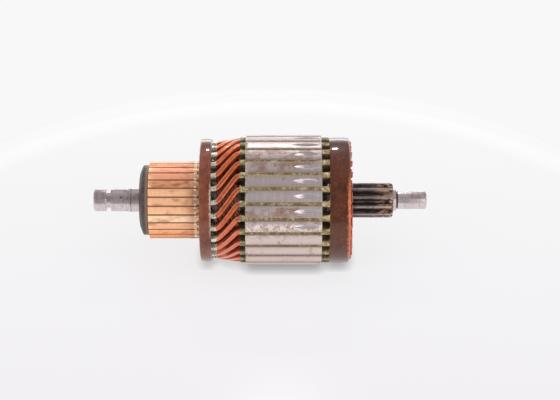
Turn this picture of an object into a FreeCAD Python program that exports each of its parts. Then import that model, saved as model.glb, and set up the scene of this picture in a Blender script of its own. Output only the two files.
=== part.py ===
import FreeCAD, Part
import os
from math import acos, asin, cos, pi, radians, sin, sqrt, tan

# Armature of a geared starter motor: a steel shaft with a sun pinion cut into it, a slotted
# lamination core, 27 copper hairpins in two layers, a moulded commutator of 27 bars and two
# resin-glass bands. Millimetres and degrees. The shaft's axis is X, from the commutator end
# to the pinion, Z is up, and the origin is the middle of the commutator-end journal.
# Angles turn from +Y towards +Z.

V = FreeCAD.Vector
axis_point = V(0, 0, 0)
axis_line = V(1, 0, 0)

# Shaft, from the commutator end to the drive end
end_land_length = 5.5
end_land_diameter = 9.9
ring_groove_width = 2.0
ring_groove_diameter = 6.8
front_journal_length = 8.0
front_journal_diameter = 10.0
seat_diameter = 10.4
hub_setback = 5.1
collar_length = 9.0
pinion_length = 22.7
neck_ring_length = 2.0
neck_ring_diameter = 9.4
rear_journal_length = 12.8
rear_journal_diameter = 8.0
end_chamfer = 0.6

# Sun pinion
pinion_teeth = 11
pinion_module = 1.2
pinion_addendum = 1.15
pinion_dedendum = 1.4
pressure_angle = 20.0
tooth_end_chamfer = 1.0
pinion_phase = 142.0

# Lamination core
slot_count = 27
core_diameter = 57.5
core_length = 33.0
slot_lip = 1.1
slot_opening = 1.3
slot_phase = 153.6

# Balance cuts, milled by a disc along the middle of neighbouring teeth
balanced_teeth = range(-5, 3)
balance_cut_length = 12.0
balance_cut_depth = 1.1
balance_keel_length = 6.0
balance_cut_width = 2.0
balance_cut_setback = 0.7

# Winding
conductor_width = 2.0
conductor_height = 2.8
liner_thickness = 0.25
slot_clearance = 0.05
layer_gap = 0.84
turn_gap = 0.34
head_turn_gap = 0.28
coil_pitch = 7
top_lead = 2
bottom_lead = 4
liner_overhang_front = 2.4
liner_overhang_rear = 2.6
slot_exit_front = 0.9
slot_exit_rear = 0.95
front_dip = 1.35
head_dip = 0.9
head_rise = 1.65
head_shoulder_angle = 8.0
head_turn_angle = 4.2
stripped_length = 1.9
bend_room = 0.35

# Commutator
commutator_diameter = 34.0
bar_length = 21.2
bar_gap = 0.6
bar_foot = 1.2
bar_phase_shift = -1.0
undercut_depth = 0.6
notch_length = 1.8
tail_width = 1.6
tail_height = 2.25
tail_clearance = 0.05
riser_standoff = 0.95
riser_gap = 0.2

# Commutator hub
hub_nose_length = 4.2
hub_rim_step = 1.6
hub_bevel_depth = 3.4
hub_bevel_length = 1.4

# Bands
band_seat_clearance = 0.1
front_band_wall = 1.03
front_band_width = 5.1
front_band_setback = 0.35
rear_band_wall = 0.28
rear_band_width = 8.8
rear_band_setback = 0.8

# Angles and radii that follow
pitch = 360.0 / slot_count
pinion_radius = pinion_module * pinion_teeth / 2
pinion_tip_radius = pinion_radius + pinion_addendum
pinion_root_radius = pinion_radius - pinion_dedendum
core_radius = core_diameter / 2
commutator_radius = commutator_diameter / 2
slot_roof = core_radius - slot_lip
liner_top = slot_roof - slot_clearance
top_leg_radius = liner_top - liner_thickness - slot_clearance - conductor_height / 2
bottom_leg_radius = top_leg_radius - conductor_height - layer_gap
liner_bottom = bottom_leg_radius - conductor_height / 2 - slot_clearance - liner_thickness
slot_floor = liner_bottom - slot_clearance
liner_width = conductor_width + 2 * (slot_clearance + liner_thickness)
slot_width = liner_width + 2 * slot_clearance
top_tail_radius = commutator_radius - tail_height / 2
bottom_tail_radius = top_tail_radius - tail_height - 2 * tail_clearance
notch_floor = bottom_tail_radius - tail_height / 2 - tail_clearance
bar_inner_radius = notch_floor - bar_foot
top_turn_angle = top_lead * pitch + bar_phase_shift
bottom_turn_angle = bottom_lead * pitch - bar_phase_shift
half_coil_angle = coil_pitch * pitch / 2
bar_angle = slot_phase + bar_phase_shift


def slant_length(angle, radius, gap):
    """Axial length in which neighbouring bars turn by angle and stay gap apart."""
    lean = acos((conductor_width + gap) / (radians(pitch) * radius))
    return radians(angle) * radius / tan(lean)


# Stations along the shaft
ring_groove_front = -front_journal_length / 2 - ring_groove_width
shaft_front = ring_groove_front - end_land_length
journal_front = -front_journal_length / 2
journal_back = front_journal_length / 2
hub_front = journal_back + hub_setback
bars_front = hub_front + hub_nose_length
bars_back = bars_front + bar_length
tail_front = bars_back - notch_length + tail_clearance
top_riser = bars_back + riser_standoff + conductor_height / 2
bottom_riser = top_riser + conductor_height + riser_gap
bottom_bend = bottom_riser + conductor_height / 2 + bend_room
top_bend = bottom_bend + stripped_length
front_bend = bottom_bend + slant_length(bottom_turn_angle, bottom_leg_radius - front_dip / 2, turn_gap)
core_front = front_bend + slot_exit_front + liner_overhang_front
core_back = core_front + core_length
rear_bend = core_back + liner_overhang_rear + slot_exit_rear
shoulder_turn = half_coil_angle - head_shoulder_angle
head_foot = rear_bend + slant_length(shoulder_turn, bottom_leg_radius - head_dip / 2, head_turn_gap)
head_middle = head_foot + head_rise
pinion_front = core_back + collar_length
pinion_back = pinion_front + pinion_length
rear_journal_front = pinion_back + neck_ring_length
shaft_back = rear_journal_front + rear_journal_length


def polar(x, angle, radius):
    return V(x, radius * cos(radians(angle)), radius * sin(radians(angle)))


def turned(outline):
    """Solid of revolution about the shaft's axis, from an outline of (x, radius) corners."""
    corners = [V(x, radius, 0) for x, radius in outline]
    face = Part.Face(Part.makePolygon(corners + corners[:1]))
    return face.revolve(axis_point, axis_line, 360)


def around(shape, angle):
    return shape.rotated(axis_point, axis_line, angle)


def flat_solid(rings):
    """Solid of flat faces, one for each ring of corners."""
    solid = Part.Solid(Part.Shell([Part.Face(Part.makePolygon(ring + ring[:1])) for ring in rings]))
    if solid.Volume < 0:
        solid.reverse()
    return solid


# Shaft and pinion

def involute(angle):
    return tan(angle) - angle


def tooth_flank(tooth_angle, side):
    """Root corner and involute points of one flank, from the root outwards."""
    base_radius = pinion_radius * cos(radians(pressure_angle))
    half_at_base = pi / (2 * pinion_teeth) + involute(radians(pressure_angle))
    points = []
    for radius in (base_radius, (base_radius + pinion_tip_radius) / 2, pinion_tip_radius):
        half = half_at_base - involute(acos(base_radius / radius))
        points.append(polar(0, tooth_angle + side * half * 180 / pi, radius))
    root_angle = tooth_angle + side * half_at_base * 180 / pi
    return [polar(0, root_angle, pinion_root_radius)] + points


def pinion():
    """Involute teeth, chamfered where they end towards the drive-end journal."""
    tooth_pitch = 360.0 / pinion_teeth
    edges = []
    for tooth in range(pinion_teeth):
        middle = pinion_phase + tooth * tooth_pitch
        rising = tooth_flank(middle, -1)
        falling = tooth_flank(middle, 1)
        next_root = tooth_flank(middle + tooth_pitch, -1)[0]
        tip = polar(0, middle, pinion_tip_radius)
        root = polar(0, middle + tooth_pitch / 2, pinion_root_radius)
        edges += Part.makePolygon(rising).Edges
        edges.append(Part.Arc(rising[3], tip, falling[3]).toShape())
        edges += Part.makePolygon(falling[::-1]).Edges
        edges.append(Part.Arc(falling[0], root, next_root).toShape())
    gear = Part.Face(Part.Wire(edges)).extrude(V(pinion_length, 0, 0))
    gear.translate(V(pinion_front, 0, 0))
    envelope = turned([
        (pinion_front, 0),
        (pinion_front, pinion_tip_radius),
        (pinion_back - tooth_end_chamfer, pinion_tip_radius),
        (pinion_back, pinion_tip_radius - tooth_end_chamfer),
        (pinion_back, 0),
    ])
    return gear.common(envelope)


def armature_shaft():
    land = end_land_diameter / 2
    groove = ring_groove_diameter / 2
    front_journal = front_journal_diameter / 2
    seat = seat_diameter / 2
    ring = neck_ring_diameter / 2
    rear_journal = rear_journal_diameter / 2
    bar = turned([
        (shaft_front, 0),
        (shaft_front, land - end_chamfer),
        (shaft_front + end_chamfer, land),
        (ring_groove_front, land),
        (ring_groove_front, groove),
        (journal_front, groove),
        (journal_front, front_journal),
        (journal_back, front_journal),
        (journal_back, seat),
        (pinion_back, seat),
        (pinion_back, ring),
        (rear_journal_front, ring),
        (rear_journal_front, rear_journal),
        (shaft_back - end_chamfer, rear_journal),
        (shaft_back, rear_journal - end_chamfer),
        (shaft_back, 0),
    ])
    return bar.fuse(pinion()).removeSplitter()


# Core

def slot_tool():
    """Cutter for the slot at angle zero: a parallel slot under a narrower opening."""
    half = slot_width / 2
    mouth = slot_opening / 2
    above = core_radius + slot_lip
    corners = [(slot_floor, -half), (slot_roof, -half), (slot_roof, -mouth), (above, -mouth),
               (above, mouth), (slot_roof, mouth), (slot_roof, half), (slot_floor, half)]
    points = [V(core_front, y, z) for y, z in corners]
    return Part.Face(Part.makePolygon(points + points[:1])).extrude(V(core_length, 0, 0))


def balance_tool():
    """Canoe-shaped V cut with pointed ends, for the tooth at angle zero."""
    reach = balance_cut_length / 2
    middle = core_back - balance_cut_setback - reach
    keel = balance_keel_length / 2
    slope = balance_cut_width / 2 / balance_cut_depth
    sections = []
    for x, depth in ((-reach, 0), (-keel, balance_cut_depth), (keel, balance_cut_depth), (reach, 0)):
        bottom = V(middle + x, core_radius - depth, 0)
        top = core_radius + balance_cut_depth
        half = slope * (top - bottom.y)
        sections.append([bottom, V(bottom.x, top, half), V(bottom.x, top, -half)])
    rings = [sections[0], sections[-1]]
    for first, second in zip(sections, sections[1:]):
        rings += [[first[a], first[b], second[b], second[a]] for a, b in ((0, 1), (1, 2), (2, 0))]
    return flat_solid(rings)


def lamination_core():
    body = Part.makeCylinder(core_radius, core_length, V(core_front, 0, 0), axis_line)
    bore = Part.makeCylinder(seat_diameter / 2, core_length, V(core_front, 0, 0), axis_line)
    slots = [around(slot_tool(), slot_phase + slot * pitch) for slot in range(slot_count)]
    first_tooth = slot_phase - pitch / 2
    cuts = [around(balance_tool(), first_tooth + tooth * pitch) for tooth in balanced_teeth]
    return body.cut([bore] + slots + cuts)


def slot_liners():
    """One folded paper sleeve in each slot, out past both ends of the core."""
    start = core_front - liner_overhang_front
    length = liner_overhang_front + core_length + liner_overhang_rear
    height = liner_top - liner_bottom
    inner_width = liner_width - 2 * liner_thickness
    inner_height = height - 2 * liner_thickness
    sleeve = Part.makeBox(length, height, liner_width, V(start, liner_bottom, -liner_width / 2))
    inside = Part.makeBox(length, inner_height, inner_width,
                          V(start, liner_bottom + liner_thickness, -inner_width / 2))
    liner = sleeve.cut(inside)
    return Part.Compound([around(liner, slot_phase + slot * pitch) for slot in range(slot_count)])


# Winding

def slant(start, end, spans):
    """Stations (x, angle, radius) after start, up to and with end."""
    steps = [step / spans for step in range(1, spans + 1)]
    return [tuple(a + (b - a) * step for a, b in zip(start, end)) for step in steps]


def bar_section(point, line, plane, width, height):
    """Corners where a rectangular bar that runs along line meets a plane through point."""
    outward = V(0, point.y, point.z).normalize()
    up = (outward - line * outward.dot(line)).normalize()
    across = line.cross(up)
    corners = []
    for a, b in ((-1, -1), (1, -1), (1, 1), (-1, 1)):
        offset = across * (a * width / 2) + up * (b * height / 2)
        corners.append(point + offset - line * (offset.dot(plane) / line.dot(plane)))
    return corners


def bent_bar(stations):
    """Rectangular bar mitred at each station (x, angle, radius, width, height).

    A side whose span twists is split along its inner diagonal, so every face is flat."""
    points = [polar(x, angle, radius) for x, angle, radius, width, height in stations]
    runs = [(b - a).normalize() for a, b in zip(points, points[1:])]
    sections = []
    for number, point in enumerate(points):
        before = runs[max(number - 1, 0)]
        after = runs[min(number, len(runs) - 1)]
        outward = V(0, point.y, point.z).normalize()
        flatter = min(before, after, key=lambda run: abs(run.dot(outward)))
        width, height = stations[number][3:]
        sections.append(bar_section(point, flatter, (before + after).normalize(), width, height))
    rings = [sections[0], sections[-1]]
    for number, (first, second) in enumerate(zip(sections, sections[1:])):
        for corner in range(4):
            a, b = first[corner], first[(corner + 1) % 4]
            c, d = second[(corner + 1) % 4], second[corner]
            outward = a + b + c + d - (points[number] + points[number + 1]) * 2
            bulge = (a + c - b - d).dot(outward.normalize())
            if abs(bulge) < 1e-7:
                rings.append([a, b, c, d])
            elif bulge < 0:
                rings += [[a, b, c], [a, c, d]]
            else:
                rings += [[a, b, d], [b, c, d]]
    return flat_solid(rings)


def hairpin():
    """The conductor whose top leg lies in the slot at angle zero, from its top tail, through
    the slot, the head and the bottom leg's slot, to its bottom tail."""
    full = (conductor_width, conductor_height)
    coined = (tail_width, tail_height)
    bottom_slot = -coil_pitch * pitch
    bottom_bar = bottom_slot - bottom_turn_angle
    head_angle = -half_coil_angle
    top_front = top_leg_radius - front_dip
    bottom_front = bottom_leg_radius - front_dip
    top_head = top_leg_radius - head_dip
    bottom_head = bottom_leg_radius - head_dip
    top_tail = [(tail_front, top_turn_angle, top_tail_radius),
                (top_riser, top_turn_angle, top_tail_radius)]
    bottom_tail = [(bottom_riser, bottom_bar, bottom_tail_radius),
                   (tail_front, bottom_bar, bottom_tail_radius)]
    top_start = (top_bend, top_turn_angle, top_front)
    top_slot_front = (front_bend, 0, top_leg_radius)
    top_slot_back = (rear_bend, 0, top_leg_radius)
    top_shoulder = (head_foot, head_angle + head_shoulder_angle, top_head)
    top_turn = (head_middle, head_angle + head_turn_angle, top_head)
    bottom_turn = (head_middle, head_angle - head_turn_angle, bottom_head)
    bottom_shoulder = (head_foot, head_angle - head_shoulder_angle, bottom_head)
    bottom_slot_back = (rear_bend, bottom_slot, bottom_leg_radius)
    bottom_slot_front = (front_bend, bottom_slot, bottom_leg_radius)
    bottom_start = (bottom_bend, bottom_bar, bottom_front)
    path = [(top_riser, top_turn_angle, top_front), top_start]
    path += slant(top_start, top_slot_front, 2)
    path += [top_slot_back, top_shoulder, top_turn, bottom_turn, bottom_shoulder,
             bottom_slot_back, bottom_slot_front]
    path += slant(bottom_slot_front, bottom_start, 2)
    path += [(bottom_riser, bottom_bar, bottom_front)]
    return bent_bar([station + coined for station in top_tail]
                    + [station + full for station in path]
                    + [station + coined for station in bottom_tail])


# Commutator

def bar_blank():
    """The bar at angle zero before it is notched."""
    def edge_angle(radius):
        return pitch / 2 - asin(bar_gap / 2 / radius) * 180 / pi

    outer = edge_angle(commutator_radius)
    inner = edge_angle(bar_inner_radius)
    corners = [polar(bars_front, -outer, commutator_radius), polar(bars_front, outer, commutator_radius),
               polar(bars_front, inner, bar_inner_radius), polar(bars_front, -inner, bar_inner_radius)]
    crown = Part.Arc(corners[0], polar(bars_front, 0, commutator_radius), corners[1]).toShape()
    sides = Part.makePolygon(corners[1:] + corners[:1])
    section = Part.Face(Part.Wire([crown] + sides.Edges))
    return section.extrude(V(bar_length, 0, 0))


def commutator_bar(blank):
    """The notch at the back takes one top and one bottom tail."""
    notch_width = tail_width + 2 * tail_clearance
    notch = Part.makeBox(notch_length, commutator_radius, notch_width,
                         V(bars_back - notch_length, notch_floor, -notch_width / 2))
    return blank.cut(notch)


def commutator_hub(blanks):
    """Moulding between the shaft and the bars, with a fin in each gap between two bars. It has
    27 flats, so the bars and the fins are indexed by its nose."""
    rim_front = hub_front + hub_bevel_length
    rim_radius = commutator_radius - hub_rim_step
    face_radius = rim_radius - hub_bevel_depth
    fin_radius = commutator_radius - undercut_depth
    sections = []
    for x, radius in ((hub_front, face_radius), (rim_front, rim_radius), (bars_front, rim_radius),
                      (bars_front, fin_radius), (bars_back, fin_radius)):
        apex = radius / cos(radians(pitch / 2))
        sections.append([polar(x, bar_angle + flat * pitch, apex) for flat in range(slot_count)])
    rings = [sections[0], sections[-1]]
    for first, second in zip(sections, sections[1:]):
        rings += [[first[flat - 1], first[flat], second[flat], second[flat - 1]]
                  for flat in range(slot_count)]
    seat = Part.makeCylinder(seat_diameter / 2, bars_back - hub_front,
                             V(hub_front, 0, 0), axis_line)
    return flat_solid(rings).cut([seat] + blanks)


# Bands

def band(front, width, wall, front_bore, back_bore):
    """Roving wound round the conductors, so the bore has one flat over each of them. The wall
    is the thickness over the flats where the bore is widest."""
    ring = Part.makeCylinder(max(front_bore, back_bore) + wall, width, V(front, 0, 0), axis_line)
    outlines = []
    for x, bore in ((front, front_bore), (front + width, back_bore)):
        corners = [polar(x, (number + 0.5) * pitch, bore / cos(radians(pitch / 2)))
                   for number in range(slot_count)]
        outlines.append(Part.makePolygon(corners + corners[:1]))
    return ring.cut(around(Part.makeLoft(outlines, True, True), slot_phase))


def leg_crown(radius):
    """Radius that clears the outer corners of a conductor whose middle lies at radius."""
    return sqrt((radius + conductor_height / 2) ** 2 + (conductor_width / 2) ** 2)


def commutator_end_band():
    front = top_riser - conductor_height / 2 + front_band_setback
    bore = leg_crown(top_leg_radius - front_dip) + band_seat_clearance
    return band(front, front_band_width, front_band_wall, bore, bore)


def drive_end_band():
    front = core_back + liner_overhang_rear + rear_band_setback
    front_bore = leg_crown(top_leg_radius) + band_seat_clearance
    back_bore = leg_crown(top_leg_radius - head_dip) + band_seat_clearance
    return band(front, rear_band_width, rear_band_wall, front_bore, back_bore)


def main():
    blank = bar_blank()
    bar = commutator_bar(blank)
    bar_angles = [bar_angle + number * pitch for number in range(slot_count)]
    coil = hairpin()
    nodes = {
        "armature_shaft": armature_shaft(),
        "lamination_core": lamination_core(),
        "slot_liners": slot_liners(),
        "commutator_hub": commutator_hub([around(blank, angle) for angle in bar_angles]),
        "commutator_end_band": commutator_end_band(),
        "drive_end_band": drive_end_band(),
    }
    for number in range(slot_count):
        nodes[f"commutator_bar_{number + 1:02d}"] = around(bar, bar_angles[number])
        nodes[f"hairpin_{number + 1:02d}"] = around(coil, slot_phase + number * pitch)
    os.makedirs("parts", exist_ok=True)
    for name, shape in nodes.items():
        shape.exportStep(f"parts/{name}.step")
    print("nodes", len(nodes), "length", round(shaft_back - shaft_front, 2))


main()
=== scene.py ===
import math
import bmesh
import bpy
import numpy as np
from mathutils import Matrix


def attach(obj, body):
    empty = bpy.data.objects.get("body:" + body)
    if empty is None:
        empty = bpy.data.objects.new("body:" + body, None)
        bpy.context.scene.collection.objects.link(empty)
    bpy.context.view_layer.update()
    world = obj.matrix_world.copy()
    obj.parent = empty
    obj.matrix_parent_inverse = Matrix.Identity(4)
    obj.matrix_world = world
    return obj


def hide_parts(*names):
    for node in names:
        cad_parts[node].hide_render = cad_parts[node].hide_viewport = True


# Armature of a geared starter motor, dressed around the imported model.
# Millimetres and degrees here, metres in Blender. The shaft lies along X, the commutator is at
# the low end, and angles turn from +Y towards +Z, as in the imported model.

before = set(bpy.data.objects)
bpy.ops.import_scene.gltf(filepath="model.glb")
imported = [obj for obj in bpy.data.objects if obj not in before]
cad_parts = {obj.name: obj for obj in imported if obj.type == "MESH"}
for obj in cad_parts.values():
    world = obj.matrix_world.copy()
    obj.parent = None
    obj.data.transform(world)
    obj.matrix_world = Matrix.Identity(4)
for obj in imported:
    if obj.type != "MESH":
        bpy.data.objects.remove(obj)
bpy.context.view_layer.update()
rng = np.random.default_rng(27)
slotCount = 27
pitch = 360 / slotCount
slotPhase = 153.6       # angle of slot 1
barPhase = 152.6        # angle of bar 1


# Meshes

def onShaft(x, angle, radius):  # points at an angle and a radius round the shaft's axis
    turn = np.radians(angle)
    parts = np.broadcast_arrays(x, radius * np.cos(turn), radius * np.sin(turn))
    return np.stack(parts, axis=-1) * 0.001


def turnedRound(points, angle):  # points turned by an angle round the shaft's axis
    turn = math.radians(angle)
    y, z = points[..., 1], points[..., 2]
    return np.stack([points[..., 0], y * math.cos(turn) - z * math.sin(turn),
                     y * math.sin(turn) + z * math.cos(turn)], axis=-1)


def skin(points, firstIndex=0, ring=False):
    # Quads between neighbouring rows of points, each row a closed outline. The end rows are
    # closed by one face each, or joined to each other where the rows form a ring.
    rows, columns = points.shape[:2]
    index = np.arange(rows * columns).reshape(rows, columns) + firstIndex
    here = index if ring else index[:-1]
    there = np.roll(index, -1, axis=0) if ring else index[1:]
    quads = np.stack([here, np.roll(here, -1, axis=1), np.roll(there, -1, axis=1), there], axis=-1)
    faces = quads.reshape(-1, 4).tolist()
    if not ring:
        faces += [index[0][::-1].tolist(), index[-1].tolist()]
    return faces


def addPiece(name, skins, material, nodes, ring=False, sharp=38, corner=None):
    # Puts the skins into one mesh and hides the CAD nodes that it replaces. Corner is how strong the
    # painted highlight on the enamel's edges is at each point.
    vertices, faces = [], []
    start = 0
    for points in skins:
        faces += skin(points, start, ring)
        vertices.append(points.reshape(-1, 3))
        start += points.shape[0] * points.shape[1]
    mesh = bpy.data.meshes.new(name)
    mesh.from_pydata(np.concatenate(vertices).tolist(), [], faces)
    work = bmesh.new()
    work.from_mesh(mesh)
    bmesh.ops.recalc_face_normals(work, faces=work.faces)
    work.to_mesh(mesh)
    work.free()
    mesh.shade_smooth()
    mesh.set_sharp_from_angle(angle=math.radians(sharp))
    mesh.materials.append(material)
    # The corner attribute holds the strength of the painted edge highlight.
    if corner is not None:
        mesh.attributes.new("corner", "FLOAT", "POINT").data.foreach_set("value", corner)
    piece = bpy.data.objects.new(name, mesh)
    bpy.context.scene.collection.objects.link(piece)
    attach(piece, "root")
    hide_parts(*nodes)


def rounded(corners, radius, steps=5):
    # An open outline whose inner corners are replaced by short curves. Each corner is (x, radius
    # from the axis); the curve is the parabola between two points near the corner.
    corners = np.array(corners, float)
    out = [corners[:1]]
    share = np.linspace(0, 1, steps)[:, None]
    for before, corner, after in zip(corners, corners[1:], corners[2:]):
        towards, away = before - corner, after - corner
        reach = min(radius, np.linalg.norm(towards) / 2.2, np.linalg.norm(away) / 2.2)
        a = corner + towards / np.linalg.norm(towards) * reach
        b = corner + away / np.linalg.norm(away) * reach
        out.append(a * (1 - share) ** 2 + corner * 2 * share * (1 - share) + b * share ** 2)
    out.append(corners[-1:])
    return np.concatenate(out)


def lathe(profile, segments):
    # Surface of revolution: rows follow the profile, columns go round the axis.
    angles = np.linspace(0, 360, segments, endpoint=False)
    return onShaft(profile[:, 0][:, None], angles[None, :], profile[:, 1][:, None])


# Materials

def linear(hexColour):  # sRGB hex value turned to linear light, with a full alpha
    values = [int(hexColour[start:start + 2], 16) / 255 for start in (1, 3, 5)]
    return [v / 12.92 if v <= 0.04045 else ((v + 0.055) / 1.055) ** 2.4 for v in values] + [1.0]


def addNode(tree, kind, inputs=(), stops=(), **settings):
    # Adds a node, sets or links its inputs, and gives back its outputs. Inputs are a list in
    # the node's own order, or named by key. A MapRange has the value, the two values that it
    # runs between and what they turn into. Stops are the places and colours of a ramp.
    node = tree.nodes.new("ShaderNode" + kind)
    for key, value in settings.items():
        setattr(node, key, value)
    for key, value in inputs.items() if isinstance(inputs, dict) else enumerate(inputs):
        if isinstance(value, bpy.types.NodeSocket):
            tree.links.new(value, node.inputs[key])
        else:
            node.inputs[key].default_value = linear(value) if isinstance(value, str) else value
    for number, (position, colour) in enumerate(stops):
        ends = node.color_ramp.elements
        stop = ends[number] if number < 2 else ends.new(position)
        stop.position = position
        stop.color = linear(colour)
    return node.outputs


def startMaterial(name):
    # The shader, joined to its output, and the place on the piece in millimetres.
    material = bpy.data.materials.new(name)
    material.use_nodes = True
    tree = material.node_tree
    tree.nodes.clear()
    shader = addNode(tree, "BsdfPrincipled")[0].node
    addNode(tree, "OutputMaterial", [shader.outputs[0]])
    metres = addNode(tree, "TexCoord")["Object"]
    place = addNode(tree, "VectorMath", [metres, (1000, 1000, 1000)], operation="MULTIPLY")[0]
    return material, tree, shader, place


def fromAxis(tree, place):  # distance from the shaft's axis
    flat = addNode(tree, "VectorMath", [place, (0, 1, 1)], operation="MULTIPLY")[0]
    return addNode(tree, "VectorMath", [flat], operation="LENGTH")["Value"]


def fromMiddle(tree, value, middle):  # how far a value lies from its middle, to either side
    offset = addNode(tree, "Math", [value, middle], operation="SUBTRACT")[0]
    return addNode(tree, "Math", [offset], operation="ABSOLUTE")[0]


def numberRound(tree, place, phase):
    # The number of the tooth or bar that a point is on, and how far from its middle the point
    # lies, 0 to 0.5: the angle round the axis divided by the pitch.
    x, y, z = addNode(tree, "SeparateXYZ", [place])
    angle = addNode(tree, "Math", [z, y], operation="ARCTAN2")[0]
    turns = addNode(tree, "Math", [angle, slotCount / (2 * math.pi), slotCount - phase / pitch],
                    operation="MULTIPLY_ADD")[0]
    whole = addNode(tree, "Math", [turns], operation="FLOOR")[0]
    across = addNode(tree, "Math", [turns, whole], operation="SUBTRACT")[0]
    number = addNode(tree, "Math", [whole, float(slotCount)], operation="FLOORED_MODULO")[0]
    return number, fromMiddle(tree, across, 0.5)


def sector(tree, place, angle, half, most=1.0):
    # The value most within half degrees of an angle round the axis, and 0 a little beyond it.
    turn = math.radians(angle)
    flat = addNode(tree, "VectorMath", [place, (0, 1, 1)], operation="MULTIPLY")[0]
    unit = addNode(tree, "VectorMath", [flat], operation="NORMALIZE")[0]
    facing = addNode(tree, "VectorMath", [unit, (0, math.cos(turn), math.sin(turn))],
                     operation="DOT_PRODUCT")["Value"]
    outside, inside = math.cos(math.radians(half * 1.25)), math.cos(math.radians(half * 0.75))
    return addNode(tree, "MapRange", [facing, outside, inside, 0.0, most])[0]


def finish(tree, shader, colour, layers, rough, height, depth, settings):
    # Lays each layer's tint over the colour by its share, one after the other, and sets the
    # roughness, a bump whose depth is in millimetres, and the shader's other settings.
    for share, tint in layers:
        colour = addNode(tree, "Mix", {0: share, 6: colour, 7: tint}, data_type="RGBA")[2]
    tree.links.new(colour, shader.inputs["Base Color"])
    tree.links.new(rough, shader.inputs["Roughness"])
    bump = addNode(tree, "Bump", {"Height": height, "Distance": depth * 0.001})[0]
    tree.links.new(bump, shader.inputs["Normal"])
    for name, value in settings.items():
        shader.inputs[name].default_value = value


# In the dictionaries of looks, radii and places along the shaft are in millimetres. A side, a
# tooth or a bar is given by the angle of its middle and half its width, in degrees, and by its
# share where that isn't 1.

shaftLook = {
    "ground": ("#CCBFBF", "#E6DADA"), "dust": "#807474", "film": "#967C74", "rust": "#463230",
    "grease": "#5E4A46", "shadedUpperSide": (105, 42), "dustFront": 20.0, "dustBack": 30.0,
    "rustPatch": 2.6, "bushEdge": 5.0, "greaseFront": 121.5, "greaseBack": 122.6,
}


def groundSteel(look):
    # Ground bar steel: fine rings round the axis, rust pits of about 0.5 mm in one patch, a dark line where
    # the bush began, a brown film, thicker on the upper side, dust on the upper side at the front end, and
    # old grease in the undercut beside the pinion. The darker upper side is partly dust and film, partly
    # painted shade. The real grinding marks are too fine to show, so the rings are drawn about 0.3 mm
    # apart.
    material, tree, shader, place = startMaterial("ground bar steel")
    x = addNode(tree, "SeparateXYZ", [place])[0]
    drawn = addNode(tree, "Mapping", {"Vector": place, "Scale": (1, 0.05, 0.05)})[0]
    rings = addNode(tree, "TexNoise", {"Vector": drawn, "Scale": 3.0, "Detail": 2.0})[0]
    film = addNode(tree, "TexNoise", {"Vector": place, "Scale": 0.22, "Detail": 2.0})[0]
    pits = addNode(tree, "TexNoise", {"Vector": place, "Scale": 0.9, "Detail": 2.0, "Roughness": 0.6})[0]
    pitted = addNode(tree, "MapRange", [pits, 0.6, 0.65])[0]
    patch = addNode(tree, "MapRange", [fromMiddle(tree, x, look["rustPatch"]), 1.6, 3.2, 1.0, 0.1])[0]
    pitted = addNode(tree, "Math", [pitted, patch], operation="MULTIPLY")[0]
    edge = addNode(tree, "MapRange", [fromMiddle(tree, x, look["bushEdge"]), 0.2, 0.12, 0.0, 0.7])[0]
    pitted = addNode(tree, "Math", [pitted, edge], operation="MAXIMUM")[0]
    # The upper side is darker, under dust at the front and a thicker film: partly dust and film, partly
    # painted shade.
    upper = sector(tree, place, *look["shadedUpperSide"])
    dustAndShade = addNode(tree, "MapRange", [x, look["dustFront"], look["dustBack"], 0.25, 0.0])[0]
    dustAndShade = addNode(tree, "Math", [upper, dustAndShade], operation="MULTIPLY")[0]
    filmAndShadeOnTop = addNode(tree, "MapRange", [upper, 0.0, 1.0, 0.35, 1.0])[0]
    brown = addNode(tree, "MapRange", [film, 0.46, 0.64, 0.0, 0.65])[0]
    brown = addNode(tree, "Math", [brown, filmAndShadeOnTop], operation="MULTIPLY")[0]
    greasy = addNode(tree, "MapRange", [x, look["greaseFront"], look["greaseFront"] + 0.3])[0]
    past = addNode(tree, "MapRange", [x, look["greaseBack"], look["greaseBack"] - 0.2])[0]
    greasy = addNode(tree, "Math", [greasy, past], operation="MULTIPLY")[0]

    colour = addNode(tree, "ValToRGB", [rings], stops=zip((0.3, 0.7), look["ground"]))[0]
    layers = [(dustAndShade, look["dust"]), (brown, look["film"]), (pitted, look["rust"]),
              (greasy, look["grease"])]
    rough = addNode(tree, "MapRange", [film, 0.35, 0.7, 0.22, 0.36])[0]
    height = addNode(tree, "Math", [rings, 0.3, 1.0], operation="MULTIPLY_ADD")[0]
    height = addNode(tree, "Math", [height, pitted], operation="SUBTRACT")[0]
    finish(tree, shader, colour, layers, rough, height, 0.012, {"Metallic": 0.9})
    return material


pinionLook = {
    "grime": ("#3A302F", "#6E5F5C"), "bare": "#A89A96", "rust": "#C9AA94",
    "flankRadius": 7.2, "crestRadius": 7.7, "rustFront": 111.0, "rustBack": 116.0,
}


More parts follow.
